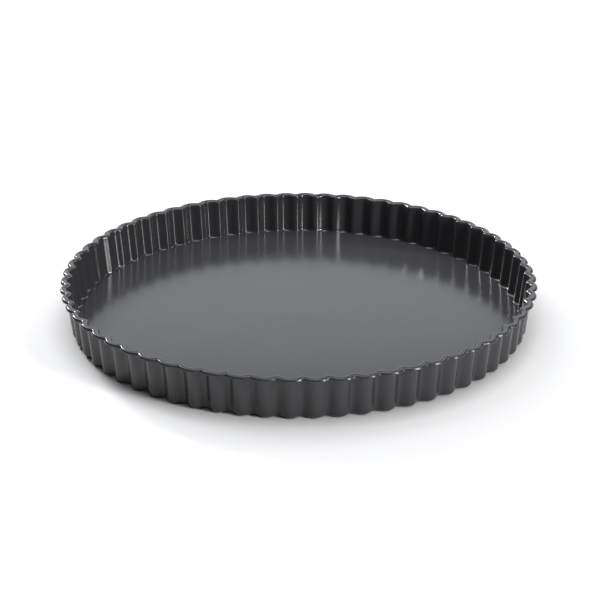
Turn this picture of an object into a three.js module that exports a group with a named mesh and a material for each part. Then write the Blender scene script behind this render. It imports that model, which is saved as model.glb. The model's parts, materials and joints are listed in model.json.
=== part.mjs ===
// Fluted tart pan with a loose base, in millimetres, +Z up.
// The origin is on the pan's axis, at the level of the surface that it stands on.
import * as THREE from 'three';

// Fluted ring: one pressed steel sheet
const RIM_RADIUS = 140; // axis to the outer tip of a flute, at the lip
const HEIGHT = 26;
const SHEET = 0.8;
const WALL_FLARE = THREE.MathUtils.degToRad(5.1); // the wall leans outward
const FOOT_BEND_RADIUS = 2.6; // to the middle of the sheet
const RIM_BEND_RADIUS = 1.4;
const LIP_WIDTH = 2.1; // the rim beyond its bend: flat, then curled down at its edge
const LIP_CURL = THREE.MathUtils.degToRad(60);
const CURL_RADIUS = 1.2;
const LEDGE_WIDTH = 8; // flat part under the pan, measured at a flute's tip

// Flutes: a wave of rounded lobes outward and rounded crests inward
const FLUTES = 64;
const FLUTE_DEPTH = 2.9;
const FOOT_FLUTE_DEPTH = 2.2; // where the flutes start, at the ledge
const LIP_NOTCH_DEPTH = 1.9; // at the lip's trimmed edge
const CREST_ROUNDING = 0.6; // 0 is a sharp crest between half-round lobes, and much above 1 a sine wave
const STEPS_PER_FLUTE = 6;

// Loose base: a flat disc that rests on the ledge
const BASE_SHEET = 0.8;
const BASE_EDGE_ROUND = 0.3;
const SEAT_GAP = 0.3; // under the base
const BASE_CLEARANCE = 1.1; // around the base, to the crests of the flutes
const BASE_SEGMENTS = 128;

const coating = new THREE.MeshStandardMaterial({ color: 0x3a3b3e, roughness: 0.35, metalness: 0.3 });

// Plan of the flutes at an angle about the axis: inset is 0 at a lobe's tip and 1 at a crest, and
// stretch is how much further a distance square to the sheet reaches when measured along the radius
function flutePlan(angle) {
  const phase = FLUTES * angle / 2;
  const wave = Math.cos(phase);
  const rounded = Math.hypot(wave, CREST_ROUNDING);
  const tip = Math.hypot(1, CREST_ROUNDING);
  const range = tip - CREST_ROUNDING;
  const slope = FLUTE_DEPTH / RIM_RADIUS * FLUTES / 2 * wave * Math.sin(phase) / rounded / range;
  return { inset: (tip - rounded) / range, stretch: Math.hypot(1, slope) };
}

// Middle line of the sheet at a lobe's tip, from the ledge's inner edge to the lip's outer edge. A point
// has a radius, a height, a heading (0 is outward, up is positive), its distance outside the wall's own
// line, and its share of the flute.
function sheetLine() {
  const turn = Math.PI / 2 - WALL_FLARE;
  const footRise = FOOT_BEND_RADIUS * (1 - Math.cos(turn));
  const footReach = FOOT_BEND_RADIUS * Math.sin(turn);
  const rimRise = RIM_BEND_RADIUS * (1 - Math.cos(turn));
  const rimReach = RIM_BEND_RADIUS * Math.sin(turn);
  const wallLength = (HEIGHT - SHEET - footRise - rimRise) / Math.sin(turn);
  const lipStart = RIM_RADIUS - LIP_WIDTH;
  const wallTop = lipStart - rimReach;
  const wallFoot = wallTop - wallLength * Math.cos(turn);
  const footStart = wallFoot - footReach;
  const low = SHEET / 2;
  const high = HEIGHT - SHEET / 2;

  const line = [{ radius: footStart - LEDGE_WIDTH, height: low, heading: 0, offset: 0, flute: 0 }];
  const footShare = FOOT_FLUTE_DEPTH / FLUTE_DEPTH;
  for (const heading of [0, turn / 2, turn]) {
    const radius = footStart + FOOT_BEND_RADIUS * Math.sin(heading);
    const height = low + FOOT_BEND_RADIUS * (1 - Math.cos(heading));
    const flute = THREE.MathUtils.lerp(footShare, 1, heading / turn);
    line.push({ radius, height, heading, offset: radius - wallFoot, flute });
  }
  for (const heading of [turn, turn / 2, 0]) {
    const radius = lipStart - RIM_BEND_RADIUS * Math.sin(heading);
    const height = high - RIM_BEND_RADIUS * (1 - Math.cos(heading));
    line.push({ radius, height, heading, offset: radius - wallTop, flute: 1 });
  }
  const edge = RIM_RADIUS - SHEET / 2 * Math.sin(LIP_CURL);
  line.push({
    radius: edge,
    height: high - CURL_RADIUS * (1 - Math.cos(LIP_CURL)),
    heading: -LIP_CURL,
    offset: edge - wallTop,
    flute: LIP_NOTCH_DEPTH / FLUTE_DEPTH,
  });
  return line;
}

// One face of the sheet: the middle line moved by half its thickness, side 1 being the inside of the pan
function sheetFace(line, side) {
  return line.map((point) => {
    const outward = -side * SHEET / 2 * Math.sin(point.heading);
    return {
      radius: point.radius + outward,
      height: point.height + side * SHEET / 2 * Math.cos(point.heading),
      offset: point.offset + outward,
      flute: point.flute,
    };
  });
}

function flutedRing() {
  const line = sheetLine();
  const section = [...sheetFace(line, 1), ...sheetFace(line, -1).reverse()];
  const columns = FLUTES * STEPS_PER_FLUTE;
  const positions = [];
  const index = [];
  for (let column = 0; column < columns; column += 1) {
    const angle = column * 2 * Math.PI / columns;
    const { inset, stretch } = flutePlan(angle);
    for (const point of section) {
      const shift = point.offset * (stretch - 1) - FLUTE_DEPTH * inset;
      const radius = point.radius + point.flute * shift;
      positions.push(radius * Math.cos(angle), radius * Math.sin(angle), point.height);
    }
  }
  for (let column = 0; column < columns; column += 1) {
    const here = column * section.length;
    const next = ((column + 1) % columns) * section.length;
    for (let row = 0; row < section.length; row += 1) {
      const following = (row + 1) % section.length;
      index.push(here + row, here + following, next + following);
      index.push(here + row, next + following, next + row);
    }
  }
  const geometry = new THREE.BufferGeometry();
  geometry.setAttribute('position', new THREE.Float32BufferAttribute(positions, 3));
  geometry.setIndex(index);
  geometry.computeVertexNormals();
  return geometry;
}

// The disc fits inside the flutes' crests, where the wall leaves the bend at its foot
function looseBase() {
  const foot = sheetLine()[3];
  const radius = foot.radius - SHEET / 2 - FLUTE_DEPTH - BASE_CLEARANCE;
  const profile = [
    new THREE.Vector2(0, 0),
    new THREE.Vector2(radius - BASE_EDGE_ROUND, 0),
    new THREE.Vector2(radius, BASE_EDGE_ROUND),
    new THREE.Vector2(radius, BASE_SHEET - BASE_EDGE_ROUND / 2),
    new THREE.Vector2(radius - BASE_EDGE_ROUND / 2, BASE_SHEET),
    new THREE.Vector2(0, BASE_SHEET),
  ];
  return new THREE.LatheGeometry(profile, BASE_SEGMENTS).rotateX(Math.PI / 2);
}

const ring = new THREE.Mesh(flutedRing(), coating);
ring.name = 'fluted_ring';

const base = new THREE.Mesh(looseBase(), coating);
base.name = 'loose_base';
base.position.z = SHEET + SEAT_GAP;

const tartPan = new THREE.Group();
tartPan.add(ring, base);

export default tartPan;
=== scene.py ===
"""Fluted tart pan: dark non-stick coated steel ring with a loose flat base, on a pale studio floor."""

import json
import math

import bpy
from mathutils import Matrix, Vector


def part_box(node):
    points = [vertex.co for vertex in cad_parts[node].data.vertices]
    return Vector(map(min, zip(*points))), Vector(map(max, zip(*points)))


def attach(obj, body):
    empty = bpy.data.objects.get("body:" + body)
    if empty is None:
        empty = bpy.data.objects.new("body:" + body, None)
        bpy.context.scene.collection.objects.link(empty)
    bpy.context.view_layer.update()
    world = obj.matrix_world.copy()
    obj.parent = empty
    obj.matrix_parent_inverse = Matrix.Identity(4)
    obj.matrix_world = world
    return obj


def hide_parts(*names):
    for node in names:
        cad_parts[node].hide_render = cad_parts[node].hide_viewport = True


MM = 0.001

# The fluted sheet, as the CAD part has it, but with the lip's curl drawn round and tighter
SHEET = 0.8 * MM
WALL_FLARE = math.radians(5.1)
FOOT_BEND_RADIUS = 2.6 * MM  # to the middle of the sheet
RIM_BEND_RADIUS = 1.4 * MM
LIP_WIDTH = 2.1 * MM
LIP_CURL = math.radians(62)  # how far the lip's edge turns down
CURL_RADIUS = 0.6 * MM
CURL_EDGE = 0.7 * MM  # straight part beyond the curl
LEDGE_WIDTH = 8 * MM
FLUTES = 64
FLUTE_DEPTH = 2.9 * MM
FOOT_FLUTE_DEPTH = 2.2 * MM
LIP_NOTCH_DEPTH = 1.9 * MM
CREST_ROUNDING = 0.6

# Loose base: its size and place are the CAD disc's
BASE_EDGE_ROUND = 0.25 * MM

# How finely the pieces are drawn
COLUMNS_PER_FLUTE = 24
BEND_STEPS = 8
WALL_STEPS = 6
EDGE_STEPS = 6
BASE_COLUMNS = 360

# Coating: tones are shares of the record's colour, and a larger scale is a finer texture
RING_ROUGHNESS = 0.14
BASE_ROUGHNESS = 0.18
SPECKLE_TONES = (0.52, 0.78)
SPECKLE_MIX = (0.2, 0.8)
SPECKLE_SCALE = 2200
CLOUD_SCALE = 22
PEEL_SCALE = 700
PEEL_HEIGHT = 0.05 * MM
PEEL_STRENGTH = 0.05
UNEVEN_GLOSS = 0.03
SPECKLE_GLOSS = 0.02
CURL_DULLNESS = 0.15  # roughness that handling adds where the curl is steepest
COATING_IOR = 1.5

# Floor and light
FLOOR_HALF_WIDTH = 4
FLOOR_TONE = 0.82
FLOOR_ROUGHNESS = 0.9
FLOOR_SPECULAR = 0.1
SKY_COLOUR = (0.9, 0.92, 1, 1)
SKY_STRENGTH = 0.06
COOL_WHITE = (0.98, 0.985, 1)
BACKDROP_TINT = (0.93, 0.965, 1)
BOX_DISTANCE = 1.5

# Camera
CAMERA_AZIMUTH = math.radians(1.89)
CAMERA_ELEVATION = math.radians(24.4)
CAMERA_DISTANCE = 0.9462
CAMERA_LENS_MM = 94.9
CAMERA_SHIFT = (0.0021, 0.0224)  # in picture widths, right and up


def flute_plan(angle, rim_radius):
    """Inward shift of the sheet (0 at a lobe's tip, 1 at a crest) and stretch of distances square to it."""
    phase = FLUTES * angle / 2
    wave = math.cos(phase)
    rounded = math.hypot(wave, CREST_ROUNDING)
    tip = math.hypot(1, CREST_ROUNDING)
    spread = tip - CREST_ROUNDING
    slope = FLUTE_DEPTH / rim_radius * FLUTES / 2 * wave * math.sin(phase) / rounded / spread
    return (tip - rounded) / spread, math.hypot(1, slope)


def sheet_line(rim_radius, height):
    """Middle line of the sheet: (radius, height, heading, distance outside the wall's line, flute share)."""
    turn = math.pi / 2 - WALL_FLARE
    foot_rise = FOOT_BEND_RADIUS * (1 - math.cos(turn))
    rim_rise = RIM_BEND_RADIUS * (1 - math.cos(turn))
    wall_rise = height - SHEET - foot_rise - rim_rise
    lip_start = rim_radius - LIP_WIDTH
    wall_top = lip_start - RIM_BEND_RADIUS * math.sin(turn)
    wall_foot = wall_top - wall_rise / math.tan(turn)
    foot_start = wall_foot - FOOT_BEND_RADIUS * math.sin(turn)
    low = SHEET / 2
    high = height - SHEET / 2

    line = [(foot_start - LEDGE_WIDTH, low, 0, 0, 0)]
    foot_share = FOOT_FLUTE_DEPTH / FLUTE_DEPTH
    for step in range(BEND_STEPS + 1):
        heading = turn * step / BEND_STEPS
        radius = foot_start + FOOT_BEND_RADIUS * math.sin(heading)
        level = low + FOOT_BEND_RADIUS * (1 - math.cos(heading))
        flute = foot_share + (1 - foot_share) * step / BEND_STEPS
        line.append((radius, level, heading, radius - wall_foot, flute))
    for step in range(1, WALL_STEPS):
        share = step / WALL_STEPS
        radius = wall_foot + (wall_top - wall_foot) * share
        line.append((radius, low + foot_rise + wall_rise * share, turn, 0, 1))
    for step in range(BEND_STEPS + 1):
        heading = turn * (1 - step / BEND_STEPS)
        radius = lip_start - RIM_BEND_RADIUS * math.sin(heading)
        level = high - RIM_BEND_RADIUS * (1 - math.cos(heading))
        line.append((radius, level, heading, radius - wall_top, 1))
    lip_share = LIP_NOTCH_DEPTH / FLUTE_DEPTH
    edge = rim_radius - SHEET / 2
    curl_start = edge - CURL_RADIUS * math.sin(LIP_CURL) - CURL_EDGE * math.cos(LIP_CURL)
    curl = []
    for step in range(BEND_STEPS + 1):
        heading = LIP_CURL * step / BEND_STEPS
        drop = CURL_RADIUS * (1 - math.cos(heading))
        curl.append((curl_start + CURL_RADIUS * math.sin(heading), high - drop, -heading))
    curl.append((edge, curl[-1][1] - CURL_EDGE * math.sin(LIP_CURL), -LIP_CURL))
    for radius, level, heading in curl:
        flute = 1 + (lip_share - 1) * (radius - lip_start) / (edge - lip_start)
        line.append((radius, level, heading, radius - wall_top, flute))
    return line


def sheet_section(line):
    """Closed outline of the sheet: inside face, round lip edge, outside face, round ledge edge.

    A point is (radius, height, distance outside the wall's line, flute share, how far it is curled down).
    """
    half = SHEET / 2

    def beside(point, lean):
        """The point moved half a sheet along the direction that is lean past its heading."""
        radius, height, heading, offset, flute = point
        along = half * math.cos(heading + lean)
        level = height + half * math.sin(heading + lean)
        return (radius + along, level, offset + along, flute, max(0, math.sin(-heading)))

    outline = [beside(point, math.pi / 2) for point in line]
    for step in range(1, EDGE_STEPS):
        outline.append(beside(line[-1], math.pi / 2 - math.pi * step / EDGE_STEPS))
    outline += [beside(point, -math.pi / 2) for point in reversed(line)]
    for step in range(1, EDGE_STEPS):
        outline.append(beside(line[0], -math.pi / 2 - math.pi * step / EDGE_STEPS))
    return outline


def swept_mesh(name, rings):
    """A closed mesh from equal rings of points, each joined to the next and the last to the first."""
    rows = len(rings[0])
    count = len(rings)
    faces = []
    for column in range(count):
        here = column * rows
        there = (column + 1) % count * rows
        for row in range(rows):
            after = (row + 1) % rows
            faces.append((here + row, here + after, there + after, there + row))
    mesh = bpy.data.meshes.new(name)
    mesh.from_pydata([point for ring in rings for point in ring], [], faces)
    mesh.shade_smooth()
    return mesh


def fluted_ring():
    """The pressed ring: ledge, bend, fluted wall and curled lip."""
    rim_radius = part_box("fluted_ring")[1].x
    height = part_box("fluted_ring")[1].z
    section = sheet_section(sheet_line(rim_radius, height))
    columns = FLUTES * COLUMNS_PER_FLUTE
    rings = []
    for column in range(columns):
        angle = 2 * math.pi * column / columns
        inset, stretch = flute_plan(angle, rim_radius)
        ring = []
        for radius, z, offset, flute, _ in section:
            r = radius + flute * (offset * (stretch - 1) - FLUTE_DEPTH * inset)
            ring.append((r * math.cos(angle), r * math.sin(angle), z))
        rings.append(ring)
    mesh = swept_mesh("ring_sheet", rings)
    curl = mesh.attributes.new("curl", "FLOAT", "POINT")
    curl.data.foreach_set("value", [point[4] for point in section] * columns)
    return new_piece("ring_sheet", mesh, "ring", "fluted_ring")


def loose_base():
    """The flat disc, with its edge rounded above and below."""
    low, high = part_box("loose_base")
    radius = high.x
    round_radius = BASE_EDGE_ROUND
    profile = [(0, low.z)]
    for level, start in ((low.z + round_radius, -math.pi / 2), (high.z - round_radius, 0)):
        for step in range(EDGE_STEPS + 1):
            lean = start + math.pi / 2 * step / EDGE_STEPS
            out = radius - round_radius + round_radius * math.cos(lean)
            profile.append((out, level + round_radius * math.sin(lean)))
    profile.append((0, high.z))

    points = []
    faces = []
    rows = len(profile) - 2
    for column in range(BASE_COLUMNS):
        angle = 2 * math.pi * column / BASE_COLUMNS
        points += [(r * math.cos(angle), r * math.sin(angle), z) for r, z in profile[1:-1]]
    for column in range(BASE_COLUMNS):
        here = column * rows
        there = (column + 1) % BASE_COLUMNS * rows
        for row in range(rows - 1):
            faces.append((here + row, there + row, there + row + 1, here + row + 1))
    faces.append(tuple(column * rows for column in reversed(range(BASE_COLUMNS))))
    faces.append(tuple(column * rows + rows - 1 for column in range(BASE_COLUMNS)))
    mesh = bpy.data.meshes.new("base_disc")
    mesh.from_pydata(points, [], faces)
    mesh.shade_smooth()
    for face in mesh.polygons[-2:]:
        face.use_smooth = False
    return new_piece("base_disc", mesh, "base", "loose_base")


def new_piece(name, mesh, body, node):
    """An object that rides on its body and stands for its CAD node."""
    piece = bpy.data.objects.new(name, mesh)
    bpy.context.scene.collection.objects.link(piece)
    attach(piece, body)
    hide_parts(node)
    return piece


def node(tree, kind, inputs=None, **settings):
    """A shader node with its settings, and its inputs set to values or linked from sockets."""
    made = tree.nodes.new(kind)
    for key, value in settings.items():
        setattr(made, key, value)
    for key, value in (inputs or {}).items():
        if isinstance(value, bpy.types.NodeSocket):
            tree.links.new(value, made.inputs[key])
        else:
            made.inputs[key].default_value = value
    return made


def ramp(tree, factor, low, high):
    """A Map Range from 0..1 to low..high."""
    return node(tree, "ShaderNodeMapRange", {"Value": factor, "To Min": low, "To Max": high}).outputs[0]


def coating_material(name, colour, roughness):
    """Satin non-stick coating: pigment speckle, sprayed orange peel, uneven gloss, a rubbed dull curl."""
    material = bpy.data.materials.new(name)
    material.use_nodes = True
    tree = material.node_tree
    tree.nodes.clear()
    place = node(tree, "ShaderNodeTexCoord").outputs["Object"]

    speckle = node(tree, "ShaderNodeTexNoise", {"Vector": place, "Scale": SPECKLE_SCALE, "Detail": 2})
    cloud = node(tree, "ShaderNodeTexNoise", {"Vector": place, "Scale": CLOUD_SCALE, "Detail": 4})
    peel = node(tree, "ShaderNodeTexNoise", {"Vector": place, "Scale": PEEL_SCALE, "Detail": 1})

    tone = node(tree, "ShaderNodeMix", {
        "Factor": ramp(tree, speckle.outputs["Fac"], *SPECKLE_MIX),
        "A": (*[c * SPECKLE_TONES[0] for c in colour], 1),
        "B": (*[c * SPECKLE_TONES[1] for c in colour], 1),
    }, data_type="RGBA")
    gloss = node(tree, "ShaderNodeMath", {
        0: ramp(tree, cloud.outputs["Fac"], roughness - UNEVEN_GLOSS, roughness + UNEVEN_GLOSS),
        1: ramp(tree, speckle.outputs["Fac"], -SPECKLE_GLOSS, SPECKLE_GLOSS),
    }, operation="ADD")
    curl = node(tree, "ShaderNodeAttribute", attribute_name="curl")
    rubbed = node(tree, "ShaderNodeMath", {
        0: curl.outputs["Fac"],
        1: CURL_DULLNESS,
        2: gloss.outputs[0],
    }, operation="MULTIPLY_ADD")
    bump = node(tree, "ShaderNodeBump", {
        "Height": peel.outputs["Fac"], "Strength": PEEL_STRENGTH, "Distance": PEEL_HEIGHT,
    })
    shader = node(tree, "ShaderNodeBsdfPrincipled", {
        "Base Color": tone.outputs["Result"],
        "Roughness": rubbed.outputs[0],
        "Normal": bump.outputs[0],
        "IOR": COATING_IOR,
    })
    node(tree, "ShaderNodeOutputMaterial", {"Surface": shader.outputs[0]})
    return material


def studio_floor():
    """A wide pale floor under the pan."""
    half = FLOOR_HALF_WIDTH
    mesh = bpy.data.meshes.new("floor")
    corners = [(-half, -half, 0), (half, -half, 0), (half, half, 0), (-half, half, 0)]
    mesh.from_pydata(corners, [], [(0, 1, 2, 3)])
    floor = bpy.data.objects.new("floor", mesh)
    bpy.context.scene.collection.objects.link(floor)

    material = bpy.data.materials.new("floor")
    material.use_nodes = True
    shader = material.node_tree.nodes["Principled BSDF"]
    shader.inputs["Base Color"].default_value = (FLOOR_TONE, FLOOR_TONE, FLOOR_TONE, 1)
    shader.inputs["Roughness"].default_value = FLOOR_ROUGHNESS
    shader.inputs["Specular IOR Level"].default_value = FLOOR_SPECULAR
    mesh.materials.append(material)


def soft_box(name, azimuth, elevation, size, power, tint=(1, 1, 1)):
    """A soft box that faces the pan: angles in degrees, width and height in metres, power in watts.

    Azimuth 0 is the camera's side, 90 the right, 180 the back and 270 the left.
    """
    data = bpy.data.lights.new(name, "AREA")
    data.shape = "RECTANGLE"
    data.size, data.size_y = size
    data.energy = power
    data.color = tint
    light = bpy.data.objects.new(name, data)
    bpy.context.scene.collection.objects.link(light)
    a, e = math.radians(azimuth), math.radians(elevation)
    towards = Vector((math.sin(a) * math.cos(e), -math.cos(a) * math.cos(e), math.sin(e)))
    light.location = towards * BOX_DISTANCE
    light.rotation_euler = (-towards).to_track_quat("-Z", "Y").to_euler()
    return light


def studio_light():
    """Boxes above, behind to the left and right, and a tall strip on the right; the camera's side is dark."""
    world = bpy.data.worlds.new("studio")
    world.use_nodes = True
    background = world.node_tree.nodes["Background"]
    background.inputs["Color"].default_value = SKY_COLOUR
    background.inputs["Strength"].default_value = SKY_STRENGTH
    bpy.context.scene.world = world
    soft_box("overhead_box", 30, 86, (1.1, 1.1), 13.8, COOL_WHITE)
    soft_box("back_left_box", 226, 44, (0.5, 1.1), 9.5, COOL_WHITE)
    soft_box("back_left_core", 219, 27, (0.2, 0.2), 12)
    soft_box("back_right_box", 140, 42, (0.8, 0.7), 4.5)
    soft_box("backdrop", 180, 18, (1.2, 0.6), 2.6, BACKDROP_TINT)
    soft_box("right_strip", 56, 22, (0.22, 0.75), 16)


def studio_camera():
    """Looks down at the pan from the front with a long lens."""
    data = bpy.data.cameras.new("camera")
    data.lens = CAMERA_LENS_MM
    data.sensor_width = 36
    data.shift_x, data.shift_y = CAMERA_SHIFT
    data.clip_start = 0.05
    data.clip_end = 20
    camera = bpy.data.objects.new("camera", data)
    bpy.context.scene.collection.objects.link(camera)
    level = math.cos(CAMERA_ELEVATION)
    towards = Vector((
        math.sin(CAMERA_AZIMUTH) * level,
        -math.cos(CAMERA_AZIMUTH) * level,
        math.sin(CAMERA_ELEVATION),
    ))
    camera.location = towards * CAMERA_DISTANCE
    camera.rotation_euler = (-towards).to_track_quat("-Z", "Y").to_euler()
    bpy.context.scene.camera = camera


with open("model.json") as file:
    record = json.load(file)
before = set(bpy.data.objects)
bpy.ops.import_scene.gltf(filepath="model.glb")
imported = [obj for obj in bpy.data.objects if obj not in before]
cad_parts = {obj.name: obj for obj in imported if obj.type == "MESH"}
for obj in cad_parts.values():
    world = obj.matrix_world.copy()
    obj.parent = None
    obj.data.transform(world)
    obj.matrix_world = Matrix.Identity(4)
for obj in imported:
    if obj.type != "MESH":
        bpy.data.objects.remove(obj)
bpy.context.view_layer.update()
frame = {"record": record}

colours = {m["slot"]: m["base_color"] for m in frame["record"]["materials"]}
ring_coating = coating_material("ring_coating", colours["ring_coating"][:3], RING_ROUGHNESS)
fluted_ring().data.materials.append(ring_coating)
base_coating = coating_material("base_coating", colours["base_coating"][:3], BASE_ROUGHNESS)
loose_base().data.materials.append(base_coating)
studio_floor()
studio_light()
studio_camera()
bpy.context.scene.view_settings.view_transform = "Standard"
